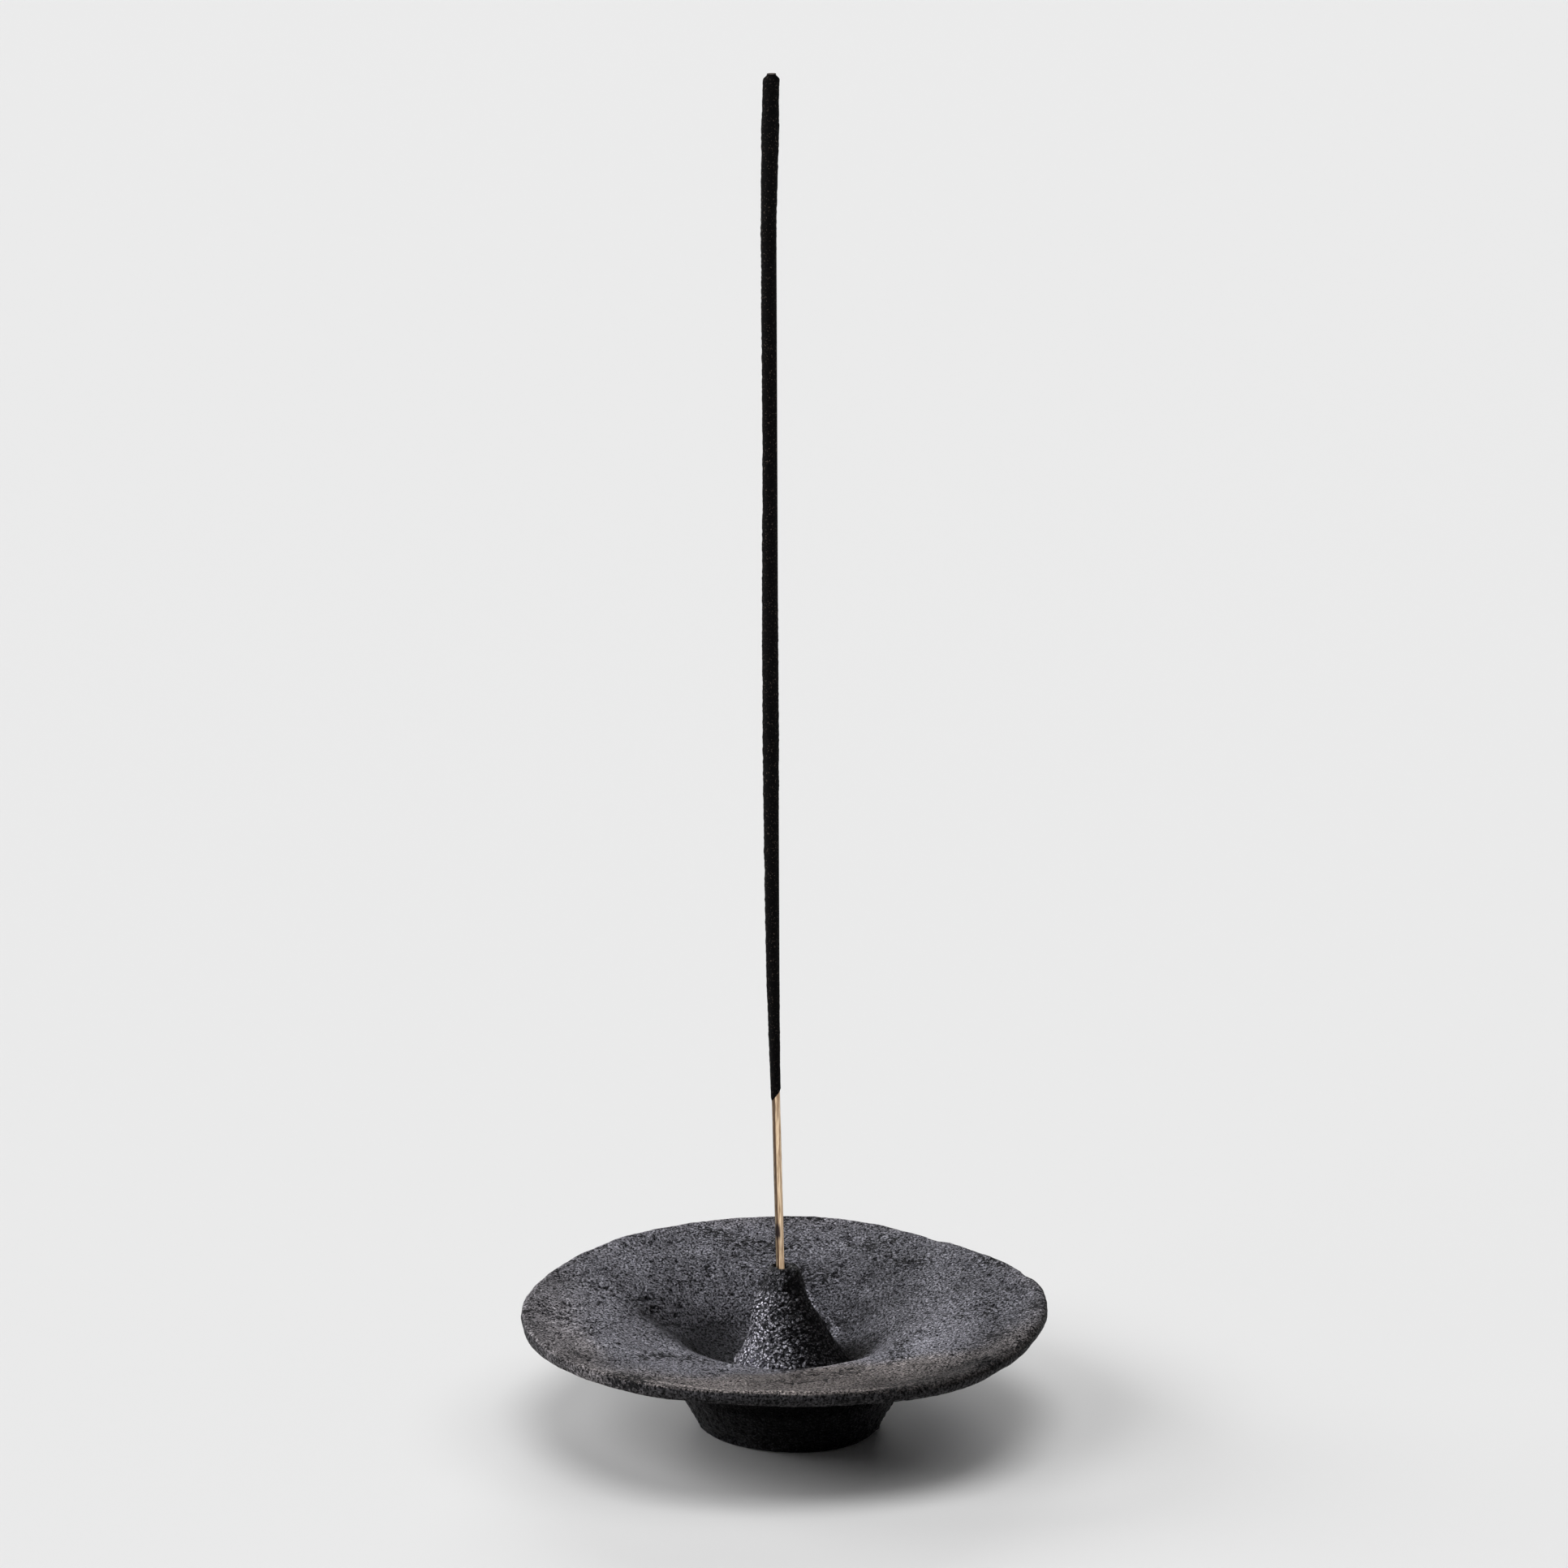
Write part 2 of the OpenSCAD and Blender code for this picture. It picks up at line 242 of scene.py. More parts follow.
def ring_quads(count, turns, looped):
    """The faces between rings of points, each by the numbers of its corners, and its lower ring."""
    i, j = np.meshgrid(np.arange(count if looped else count - 1), np.arange(turns), indexing="ij")
    onward, beside = (i + 1) % count, (j + 1) % turns
    corners = [i * turns + j, i * turns + beside, onward * turns + beside, onward * turns + j]
    return np.stack(corners, axis=-1).reshape(-1, 4), i.ravel()


def paint(mesh, name, strengths):
    """Gives each point of a mesh a strength, which its material reads by this name."""
    mesh.attributes.new(name, "FLOAT", "POINT").data.foreach_set("value", strengths)


def placed(name, data):
    """Puts an object with this mesh, lamp or camera into the scene."""
    thing = bpy.data.objects.new(name, data)
    bpy.context.collection.objects.link(thing)
    return thing


def clay_piece(name, skin, before=(), after=(), looped=False, every=1):
    """A closed clay mesh. The visible skin is a pair of rings and facings. The hidden rings before
    and after it, as (radius, height), lie against the neighbours and close the piece: on the axis
    at both ends, or into a loop."""
    rings, facings = skin
    outer, hollow = roughened(hand_formed(rings), rings, facings)
    hidden = [[hand_formed(np.array([[point]], float))[0] for point in part] for part in (before, after)]
    points = np.array([*hidden[0], *outer, *hidden[1]])[:, ::every]
    count, turns = points.shape[:2]
    verts = points.reshape(-1, 3)
    quads, lower_ring = ring_quads(count, turns, looped)
    faces = quads.tolist()
    on_skin = (lower_ring >= len(before)) & (lower_ring < len(before) + len(outer) - 1)
    smooth = on_skin.tolist()
    if not looped:
        for ring, step in ((0, -1), (count - 1, 1)):
            middle = len(verts)
            verts = np.vstack([verts, points[ring].mean(axis=0)])
            for k in range(turns):
                pair = (ring * turns + k, ring * turns + (k + 1) % turns)
                faces.append([middle, *pair[::step]])
                smooth.append(False)
    mesh = bpy.data.meshes.new(name)
    mesh.from_pydata(verts * MM, [], faces)
    mesh.polygons.foreach_set("use_smooth", smooth)
    # Painted shade for pits, cracks and creases, stored on the points for the material.
    depth = np.zeros(len(verts))
    depth[len(before) * turns:(len(before) + len(outer)) * turns] = hollow[:, ::every].ravel()
    paint(mesh, "painted_pit_shade", depth)
    corner = np.zeros(len(mesh.loops), np.int32)
    mesh.loops.foreach_get("vertex_index", corner)
    corner_on_skin = np.zeros(len(corner), bool)
    corner_on_skin[:quads.size] = np.repeat(on_skin, 4)
    normals = np.zeros((len(corner), 3))
    for ring, at in ((0, len(before)), (-1, len(before) + len(outer) - 1)):
        facing_out = seam_normals(rings[ring], facings[ring])[::every]
        chosen = corner_on_skin & (corner // turns == at)
        normals[chosen] = facing_out[corner[chosen] % turns]
    mesh.normals_split_custom_set(normals)
    return placed(name, mesh)


def colour(hex_code):
    """An sRGB hex colour as linear RGBA."""
    parts = [int(hex_code[k:k + 2], 16) / 255 for k in (1, 3, 5)]
    return [c / 12.92 if c <= 0.04045 else ((c + 0.055) / 1.055) ** 2.4 for c in parts] + [1.0]


def add(tree, kind, sockets, **settings):
    """Adds a node with these settings. Each socket gets a value, or a link from another output."""
    node = tree.nodes.new("ShaderNode" + kind)
    for key, value in settings.items():
        setattr(node, key, value)
    for key, value in sockets.items():
        if isinstance(value, bpy.types.NodeSocket):
            tree.links.new(value, node.inputs[key])
        else:
            node.inputs[key].default_value = value
    return node


def per_mm(size):
    """A texture scale that gives features of this many millimetres, in an object's metres."""
    return 1 / (size * MM)


def bare_material(name):
    """A material with nothing in it yet, and its tree of nodes."""
    material = bpy.data.materials.new(name)
    material.use_nodes = True
    material.node_tree.nodes.clear()
    return material, material.node_tree


def smoked_clay(name, dark, light, grit_mm, bump_mm, rough, gloss, tint_and_painted_light=None, pebble_mm=None, pitted=False):
    """Unglazed earthenware blackened in smoke: a dry, dark body with pale specks of grog. It has the
    usual ceramic IOR of 1.5, but its pores swallow some of the gloss. Its roughness runs from rough[0]
    on the specks, which were worn smooth, to rough[1] between them, where hardly any gloss is left.
    Coarse clay has pebbles standing out of it, each with its own tone, painted lighter at its middle
    and black in the gaps between, as painted light and shade. Smooth clay has pits and cracks, painted
    black as shade. The mesh's painted shading map darkens the body, and lightens it where negative."""
    material, tree = bare_material(name)
    place = add(tree, "TexCoord", {}).outputs["Object"]
    grit = add(tree, "TexNoise", {"Vector": place, "Scale": per_mm(grit_mm), "Detail": 3.0,
                                  "Roughness": 0.7}).outputs["Fac"]
    clouds = add(tree, "TexNoise", {"Vector": place, "Scale": per_mm(8.0), "Detail": 5.0,
                                    "Roughness": 0.65}).outputs["Fac"]
    specks = add(tree, "MapRange", {"Value": grit, "From Min": 0.39, "From Max": 0.61}).outputs[0]
    # Painted shade: pits, cracks and the creases between the cone's grains turn black by this much.
    painted_shading = add(tree, "Attribute", {}, attribute_name="painted_pit_shade").outputs["Fac"]
    height = specks
    if pebble_mm:
        wobble = add(tree, "TexNoise", {"Vector": place, "Scale": per_mm(pebble_mm),
                                        "Detail": 1.0}).outputs["Color"]
        wobble = add(tree, "VectorMath", {0: wobble, 1: (0.5, 0.5, 0.5)}, operation="SUBTRACT").outputs[0]
        wobble = add(tree, "VectorMath", {0: wobble, "Scale": 1.2 * pebble_mm * MM},
                     operation="SCALE").outputs[0]
        bent = add(tree, "VectorMath", {0: place, 1: wobble}, operation="ADD").outputs[0]
        bent = add(tree, "Mapping", {"Vector": bent, "Scale": (1.0, 1.0, 1.5)}).outputs[0]
        cells = add(tree, "TexVoronoi", {"Vector": bent, "Scale": per_mm(pebble_mm)})
        domed = add(tree, "MapRange", {"Value": cells.outputs["Distance"], "From Min": 0.7,
                                       "From Max": 0.1}).outputs[0]
        own_tone = add(tree, "SeparateColor", {"Color": cells.outputs["Color"]}).outputs[0]
        # Painted light and shade: each pebble is lighter at its middle and darker towards its edges.
        own_tone = add(tree, "Math", {0: own_tone, 1: domed}, operation="MULTIPLY").outputs[0]
        own_tone = add(tree, "MapRange", {"Value": own_tone, "From Min": 0.06, "From Max": 0.42}).outputs[0]
        specks = add(tree, "Math", {0: own_tone, 1: specks}, operation="MULTIPLY").outputs[0]
        height = add(tree, "Math", {0: domed, 1: specks}, operation="ADD").outputs[0]
        # Painted shade: the gaps between pebbles are blackened.
        gaps = add(tree, "MapRange", {"Value": domed, "From Min": 0.45, "From Max": 0.1}).outputs[0]
        painted_shading = add(tree, "Math", {0: painted_shading, 1: gaps}, operation="MAXIMUM").outputs[0]
    body = add(tree, "Mix", {0: specks, 6: colour(dark), 7: colour(light)}, data_type="RGBA").outputs[2]
    # The saucer's brown tint, which is its own colour, and on the cone a pale tint of painted light.
    if tint_and_painted_light:
        tint_and_light_colour = add(tree, "Mix", {0: specks, 6: colour(tint_and_painted_light[0]), 7: colour(tint_and_painted_light[1])},
                   data_type="RGBA").outputs[2]
        tint = add(tree, "Attribute", {}, attribute_name="tint_and_painted_light").outputs["Fac"]
        body = add(tree, "Mix", {0: tint, 6: body, 7: tint_and_light_colour}, data_type="RGBA").outputs[2]
    # The mesh's painted shade darkens the clay, and its painted light, stored as negative, lightens it.
    smoked = add(tree, "Attribute", {}, attribute_name="painted_shading").outputs["Fac"]
    smoked = add(tree, "Math", {0: smoked, 1: 0.3}, operation="MULTIPLY").outputs[0]
    clouds = add(tree, "Math", {0: clouds, 1: smoked}, operation="SUBTRACT").outputs[0]
    shade = add(tree, "MapRange", {"Value": clouds, "From Min": 0.1, "From Max": 1.3, "To Min": 0.2,
                                   "To Max": 2.15}).outputs[0]
    body = add(tree, "Mix", {0: 1.0, 6: body, 7: shade}, data_type="RGBA", blend_type="MULTIPLY").outputs[2]
    if pitted:
        patches = add(tree, "TexNoise", {"Vector": place, "Scale": per_mm(11.0),
                                         "Detail": 1.0}).outputs["Fac"]
        holes = add(tree, "TexNoise", {"Vector": place, "Scale": per_mm(0.85), "Detail": 2.0}).outputs["Fac"]
        depth = add(tree, "Math", {0: holes, 1: patches}, operation="ADD").outputs[0]
        pits = add(tree, "MapRange", {"Value": depth, "From Min": 1.16, "From Max": 1.2}).outputs[0]
        veins = add(tree, "TexNoise", {"Vector": place, "Scale": per_mm(2.3), "Detail": 2.0}).outputs["Fac"]
        veins = add(tree, "Math", {0: veins, 1: 0.5, 2: 0.011}, operation="COMPARE").outputs[0]
        split = add(tree, "MapRange", {"Value": depth, "From Min": 1.01, "From Max": 1.09}).outputs[0]
        cracks = add(tree, "Math", {0: veins, 1: split}, operation="MULTIPLY").outputs[0]
        pits = add(tree, "Math", {0: pits, 1: cracks}, operation="MAXIMUM").outputs[0]
        # Painted shade: pits and cracks are blackened as well as sunk.
        painted_shading = add(tree, "Math", {0: painted_shading, 1: pits}, operation="MAXIMUM").outputs[0]
        sunk = add(tree, "Math", {0: pits, 1: 1.6}, operation="MULTIPLY").outputs[0]
        height = add(tree, "Math", {0: height, 1: sunk}, operation="SUBTRACT").outputs[0]
    # The colour of the painted shade, nearly black.
    painted_shading = add(tree, "Math", {0: painted_shading, 1: 0.88}, operation="MULTIPLY").outputs[0]
    body = add(tree, "Mix", {0: painted_shading, 6: body, 7: colour("#050506")}, data_type="RGBA").outputs[2]
    shine = add(tree, "MapRange", {"Value": specks, "To Min": rough[1], "To Max": rough[0]}).outputs[0]
    gleam = add(tree, "MapRange", {"Value": specks, "To Min": 0.15, "To Max": 1.0}).outputs[0]
    bump = add(tree, "Bump", {"Height": height, "Strength": 1.0, "Distance": bump_mm * MM}).outputs[0]
    shader = add(tree, "BsdfPrincipled", {"Base Color": body, "Roughness": shine, "Normal": bump,
                                          "IOR": 1.5, "Specular IOR Level": gloss,
                                          "Specular Tint": gleam}).outputs[0]
    add(tree, "OutputMaterial", {"Surface": shader})
    return material


foot_outline = [(13.0, 0.0, 5), (15.2, 0.0, 5), (16.0, 0.45, 5), (16.5, 1.4, 16), (18.2, 4.6, 18),
                (foot_top_r, foot_h, 0)]
foot = clay_piece("foot", smooth_rings(foot_outline, goes_to=(19.62, 9.2)), after=[(17.9, foot_h)])
foot.data.materials.append(smoked_clay("smoked_clay_foot", dark="#010101", light="#28282b", grit_mm=0.4,
                                       bump_mm=0.3, rough=(0.25, 0.5), gloss=0.45, pebble_mm=0.6))
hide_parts("foot")
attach(foot, "burner")


# ---------------------------------------------------------------------------------------------
# The foot's luting coil: a rope of soft clay worked with a finger into the corner between foot and
# saucer, so that the two fire into one. Only its lower edge shows, under the rim.
# ---------------------------------------------------------------------------------------------
wall_seam = [(17.9, foot_h), (18.61, 9.98), (19.2, 11.2)]
foot_coil_outline = [(foot_top_r, foot_h, 7), (19.62, 9.2, 9), (19.72, 10.8, 8), (19.94, 12.4, 0)]
foot_coil = clay_piece("foot_luting_coil", smooth_rings(foot_coil_outline, (18.2, 4.6), (21.0, 13.6)),
                       after=wall_seam[::-1], looped=True)
foot_coil.data.materials.append(smoked_clay("smoked_clay_foot_seam", dark="#010101", light="#1e1e21",
                                            grit_mm=0.4, bump_mm=0.26, rough=(0.25, 0.5), gloss=0.25,
                                            pebble_mm=0.55))
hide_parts("foot_luting_coil")
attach(foot_coil, "burner")


# ---------------------------------------------------------------------------------------------
# The saucer: one slab of dark clay pressed out by hand into a wide flange round a sunken well. The
# rim was pinched to a ridge and rubbed, and smoke left it grey, with a brown bloom towards its edge.
# ---------------------------------------------------------------------------------------------
under = [(19.94, 12.4, 4), (21.0, 13.6, 4), (24.0, 15.2, 6), (31.0, 17.6, 7), (39.0, 19.0, 6)]
pinched_rim = [(44.4, 19.75, 4), (45.6, 20.0, 4), (46.05, 20.9, 4), (46.1, 21.7, 4), (45.95, 22.2, 3),
               (45.5, 22.4, 4), (44.6, 22.25, 8)]
round_rim = [(43.9, 19.65, 4), (45.2, 20.05, 4), (45.9, 20.8, 4), (45.95, 21.45, 4), (45.6, 22.05, 3),
             (44.9, 22.4, 4), (43.8, 22.45, 8)]
lipped_well = [(41.0, 21.6, 15), (34.0, 20.6, 14), (28.0, 19.3, 11), (24.0, 18.45, 9), (21.3, 17.9, 8),
               (19.2, 16.9, 8), (17.2, 15.3, 8), (14.8, 13.3, 7), (12.6, 12.0, 7), (toe_r, floor_h + 0.45, 0)]
funnel_well = [(41.0, 21.6, 15), (35.5, 20.7, 14), (30.5, 19.6, 11), (26.8, 18.4, 9), (23.6, 17.0, 8),
               (20.6, 15.5, 8), (17.6, 13.9, 8), (15.0, 12.8, 7), (12.6, 12.0, 7), (toe_r, floor_h + 0.45, 0)]
round_the_burner = np.degrees(np.arange(TURNS) * 2 * math.pi / TURNS)[None, :, None]
funnelled = ease(np.cos(np.radians(round_the_burner - 105)) / 0.8)
rounded = near(round_the_burner, -30, 70)
cone_side = (9.4, 12.7)
sharp, soft, broad = (smooth_rings(under + rim + well, (19.72, 10.8), cone_side)
                      for rim, well in ((pinched_rim, lipped_well), (pinched_rim, funnel_well),
                                        (round_rim, lipped_well)))
slab, slab_facing = (mix(mix(lipped, funnel, funnelled), blunt, rounded * (1 - funnelled))
                     for lipped, funnel, blunt in zip(sharp, soft, broad))
slab_facing /= np.linalg.norm(slab_facing, axis=-1)[..., None]
dish = clay_piece("dish", (slab, slab_facing), before=wall_seam, after=[(toe_r, floor_h)])


def zone(r, turn, middle_r, half_r, middle_turn, half_turn):
    """1 in the middle of a soft-edged patch of the flange, and 0 outside it."""
    return np.exp(-((r - middle_r) / half_r) ** 2) * near(turn, middle_turn, half_turn)


def points_of(piece):
    """Where a piece's points are, in millimetres."""
    spots = np.zeros(len(piece.data.vertices) * 3)
    piece.data.vertices.foreach_get("co", spots)
    return spots.reshape(-1, 3) / MM


def paint_tint_light_and_shade(piece):
    """Where the smoke left the clay brown and ashy, at the front of the flange and out to its edges,
    mostly on faces that look up. Painted shade down the left wall of the well and on the rim's outer
    face, painted shadow of the cone on the right of the well, and painted light in paler patches."""
    spots = points_of(piece)
    r = np.hypot(spots[:, 0], spots[:, 1])
    turn = np.degrees(np.arctan2(spots[:, 1], spots[:, 0]))
    upward = np.array([vertex.normal.z for vertex in piece.data.vertices])
    starts = mix(mix(41, 30, near(turn, 190, 60)), 16, near(turn, -72, 68))
    amount = ease((r - starts + 3 * lumps(spots, 9.0, 21)) / 9) * mix(0.25, 1, near(turn, -80, 130))
    # The front-left of the rim's outer face, where the key light falls.
    key_lit_face = near(turn, -140, 42)
    # Painted shade: the brown tint fades on faces that don't look up, less so where the key light falls.
    amount *= mix(0.15 + 0.6 * key_lit_face, 1, ease((upward - 0.1) / 0.6))
    paint(piece.data, "tint_and_painted_light", amount)
    # Painted shade on the well's left wall, which faces away from the key light.
    left = 1.25 * near(turn, 168, 75) * (1 - ease((r - 12) / 14)) + 0.7 * zone(r, turn, 15, 6, 145, 60)
    # Painted shadow of the cone on the right side of the well.
    right = near(turn, 8, 50) * (1 - ease((r - 12) / 7)) + 0.7 * zone(r, turn, 22, 10, 50, 60)
    # Painted shade on the rim's outer face, less where the key light falls, and on the front rim.
    edge = 2.6 * (1 - 0.75 * key_lit_face) * ease((r - 43.5) / 1) * (1 - ease((upward - 0.2) / 0.5))
    edge += 1.2 * ease((r - 45) / 0.6) * near(turn, -75, 60) + 1.5 * zone(r, turn, 42.5, 5, -50, 36)
    # Painted light in paler patches where the flange is lit; the paler front-left ridge is partly wear.
    painted_light = (1.2 * zone(r, turn, 26, 7, -25, 62) + 1.0 * zone(r, turn, 29, 10, -145, 65)
              + 0.9 * zone(r, turn, 38, 8, 180, 45) + 0.6 * zone(r, turn, 42, 8, 115, 80)
              + 1.3 * zone(r, turn, 20.5, 3.5, -88, 62) + 0.7 * zone(r, turn, 24, 6, -130, 45)
              + 2.0 * zone(r, turn, 44.5, 0.6, -115, 60))
    # The curl is painted paler and takes no painted shade.
    smoothed = stroke(spots, CURL, 0.9)
    shading_to_paint = ((left + right) * (1 - smoothed) - painted_light - smoothed) * (spots[:, 2] > floor_h) + 0.9 * edge
    paint(piece.data, "painted_shading", shading_to_paint)


paint_tint_light_and_shade(dish)
dish.data.materials.append(smoked_clay("smoked_clay_saucer", dark="#070708", light="#9e9ca1", grit_mm=0.42,
                                       bump_mm=0.4, rough=(0.45, 0.7), gloss=0.14,
                                       tint_and_painted_light=("#141211", "#aca29b"), pitted=True))
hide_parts("dish")
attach(dish, "burner")


# ---------------------------------------------------------------------------------------------
# The cone's luting coil: soft clay smeared from the cone's foot over the floor of the well. It is
# the same coarse, dark clay as the cone, with a slight sheen where wet fingers closed its surface.
# ---------------------------------------------------------------------------------------------
cone_seam = [(7.0, floor_h), (6.6, 14.0), (6.0, 17.0)]
cone_coil_outline = [(toe_r, floor_h + 0.45, 10), (*cone_side, 12), (8.2, 14.6, 14), (7.2, 16.6, 16),
                     (6.05, 19.8, 0)]
cone_coil = clay_piece("cone_luting_coil", smooth_rings(cone_coil_outline, (12.6, 12.0), (5.15, 22.4)),
                       after=[*cone_seam[::-1], (toe_r, floor_h)], looped=True)
# The pale tint colours here are the painted light low on the cone.
cone_clay = smoked_clay("smoked_clay_cone", dark="#161518", light="#f6f1f7", grit_mm=0.32, bump_mm=0.45,
                        rough=(0.18, 0.5), gloss=1.0, tint_and_painted_light=("#3a383e", "#efebf0"), pebble_mm=0.62)
cone_coil.data.materials.append(cone_clay)


def paint_cone_light_and_shade(piece):
    """Painted light and shade on the cone. Painted light makes it paler low down at its front and left,
    and all up its left side, where the key light falls. Painted shade darkens its right side, and the
    cone is darker round its tip."""
    spots = points_of(piece)
    turn = np.degrees(np.arctan2(spots[:, 1], spots[:, 0]))
    # Painted light low on the cone's front and left, in the pale tint colours.
    painted_light_apron = (1 - ease((spots[:, 2] - 15.3 + 1.5 * lumps(spots, 4.0, 22)) / 3.6)) * near(turn, 235, 95)
    paint(piece.data, "tint_and_painted_light", painted_light_apron)
    tip = ease((spots[:, 2] - 24.2 + 1.2 * lumps(spots, 3.0, 23)) / 2)
    # Darker round the tip, and painted shade down the right side, away from the key light.
    black = 1.5 * tip + 1.2 * near(turn, 0, 85)
    # Painted light up the left side, where the key light falls.
    painted_light = 2.7 * near(turn + 12 * lumps(spots, 3.0, 24), 215, 70) * (1 - 0.8 * tip)
    paint(piece.data, "painted_shading", black - painted_light)


paint_cone_light_and_shade(cone_coil)
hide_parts("cone_luting_coil")
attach(cone_coil, "burner")


# ---------------------------------------------------------------------------------------------
# The cone: a plug of the same clay, rolled to a point, set in the well and pierced from its tip
# with a stick. The clay that the stick pushed up stands round the hole as a rough, uneven mouth.
# ---------------------------------------------------------------------------------------------
cone_outline = [(6.05, 19.8, 20), (4.95, 22.4, 22), (3.75, 25.4, 16), (3.2, 27.4, 8), (2.9, 28.4, 5),
                (2.4, 29.1, 5), (1.8, 29.35, 6), (1.35, 29.15, 6), (1.17, 28.2, 6), (hole_r, 22.0, 4),
                (hole_r, tip_h - hole_depth, 0)]
cone = clay_piece("stick_cone", smooth_rings(cone_outline, comes_from=(7.2, 16.6)), before=cone_seam, every=2)
cone.data.materials.append(cone_clay)
paint_cone_light_and_shade(cone)
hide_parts("stick_cone")
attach(cone, "burner")


# ---------------------------------------------------------------------------------------------
# The stick's core: a splint of bamboo, split and shaved by hand, so that it has flat facets with
# darker edges and fine fibres along its length. Its bare end stands in the cone's hole.
# ---------------------------------------------------------------------------------------------
lift = next(j for j in frame["record"]["behaviour"]["joints"] if j["name"] == "stick_lift")
lean = math.atan2(-lift["axis"][0], lift["axis"][2])
core_r = 0.75
stick_len = 228.6
bare_len = 48.0
straight_len = 58.0              # above this the stick bows, within bow_len, by bow_angle
bow_len = 40.0
bow_angle = 1.15
hook_share = 0.2                 # this share of it, at its top, hooks over by hook_out
hook_out = 0.7
stick_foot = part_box("bamboo_core")[0].z / MM + core_r * math.sin(lean)


def bow(h):
    """Sideways bow of the stick at a height above its lower end."""
    over = np.maximum(0, h - straight_len)
    rise = np.where(over < bow_len, over * over / (2 * bow_len), over - bow_len / 2)
    late = np.maximum(0, h / stick_len - 1 + hook_share) / hook_share
    return math.tan(math.radians(bow_angle)) * rise + hook_out * late * late


def up_the_stick(across, forward, h):
    """Points round the stick, from upright at the origin to leaning in its hole."""
    x = bow(h) + across
    start = (tip_h - stick_foot) / 2 * math.tan(lean) - hole_offset
    return np.stack([x * math.cos(lean) - h * math.sin(lean) + start, forward + 0 * h,
                     x * math.sin(lean) + h * math.cos(lean) + stick_foot], axis=-1)


def stick_piece(name, points, looped):
    """A closed mesh over rings of points up the stick, capped at its ends unless it is looped."""
    count, turns = points.shape[:2]
    quads = ring_quads(count, turns, looped)[0]
    faces = quads.tolist()
    if not looped:
        faces += [list(range(turns))[::-1], list(range((count - 1) * turns, count * turns))]
    mesh = bpy.data.meshes.new(name)
    mesh.from_pydata(points.reshape(-1, 3) * MM, [], faces)
    mesh.polygons.foreach_set("use_smooth", [True] * len(quads) + [False] * (0 if looped else 2))
    return placed(name, mesh)


# The splint's corners, as (angle in degrees, distance from its middle), and its facets between them.
CORNERS = [(-168, 0.75), (-110, 0.74), (-42, 0.75), (-2, 0.74), (48, 0.68), (96, 0.74), (146, 0.70)]
FACET_POINTS = 5
corner_x = np.array([d * math.cos(math.radians(a)) for a, d in CORNERS])
corner_y = np.array([d * math.sin(math.radians(a)) for a, d in CORNERS])
share = np.tile(np.linspace(0, 1, FACET_POINTS, endpoint=False), len(CORNERS))
side_x = mix(np.repeat(corner_x, FACET_POINTS), np.repeat(np.roll(corner_x, -1), FACET_POINTS), share)
side_y = mix(np.repeat(corner_y, FACET_POINTS), np.repeat(np.roll(corner_y, -1), FACET_POINTS), share)
bare_rings = np.arange(0, bare_len + 4, 0.5)
covered_rings = np.arange(bare_len + 4, stick_len, 4)
core_h = np.concatenate([bare_rings, covered_rings, [stick_len]])[:, None]
fibre = lumps(np.stack(np.broadcast_arrays(side_x * 5, side_y * 5, core_h / 5), axis=-1), 1.0, 31)
trim = 1 + 0.045 * fibre - 0.05 * ease((core_h - bare_len) / 2)
core_points = up_the_stick(side_x * trim, side_y * trim, core_h)
core = stick_piece("bamboo_core", core_points, False)
side_turn = np.degrees(np.arctan2(side_y, side_x))
edge = np.where((share < 0.1) | (share > 0.75), 1.0, 0.0) * (0.6 + 0.5 * fibre)
edge += 0.7 * near(side_turn, -140, 30) * ease((core_h - 14) / 24) + 0.5 * near(side_turn, -122, 28)
paint(core.data, "edge", edge.ravel())
fleck = lumps(np.stack(np.broadcast_arrays(side_x * 2, side_y * 2, core_h), axis=-1), 1.1, 32)
stain = 1.4 * near(side_turn, -122, 74) * np.exp(-((core_h - 23.4) / 1.4) ** 4)
stain = stain + 0.5 * ease((fibre - 0.55) / 0.2)
stain = stain + 0.45 * near(side_turn, -145, 60) * ease((fleck - 0.05) / 0.3)
stain = np.maximum(stain, 0.9 * ease((core_h - stick_len + 4) / 3))
paint(core.data, "stain", stain.ravel())


def split_bamboo():
    """Raw bamboo, split and not sanded: straw-coloured, with brown fibres running its length, darker
    at the corners of its facets. Wood's usual IOR of 1.5, and a dry, slightly silky surface."""
    material, tree = bare_material("split_bamboo")
    place = add(tree, "TexCoord", {}).outputs["Object"]
    drawn_out = add(tree, "Mapping", {"Vector": place, "Scale": (1.0, 1.0, 0.045)}).outputs[0]
    fibres = add(tree, "TexNoise", {"Vector": drawn_out, "Scale": per_mm(0.16), "Detail": 3.0,
                                    "Roughness": 0.6}).outputs["Fac"]
    tone = add(tree, "ValToRGB", {"Fac": fibres})
    ramp = tone.color_ramp
    ramp.elements[0].position = 0.36
    ramp.elements[0].color = colour("#85694c")
    ramp.elements[1].position = 0.62
    ramp.elements[1].color = colour("#e0c8a8")
    worn = add(tree, "Attribute", {}, attribute_name="edge").outputs["Fac"]
    body = add(tree, "Mix", {0: worn, 6: tone.outputs[0], 7: colour("#5e432b")}, data_type="RGBA").outputs[2]
    stain = add(tree, "Attribute", {}, attribute_name="stain").outputs["Fac"]
    body = add(tree, "Mix", {0: stain, 6: body, 7: colour("#1f0a06")}, data_type="RGBA").outputs[2]
    bump = add(tree, "Bump", {"Height": fibres, "Distance": 0.05 * MM}).outputs[0]
    shader = add(tree, "BsdfPrincipled", {"Base Color": body, "Roughness": 0.55, "Normal": bump,
                                          "IOR": 1.5}).outputs[0]
    add(tree, "OutputMaterial", {"Surface": shader})
    return material


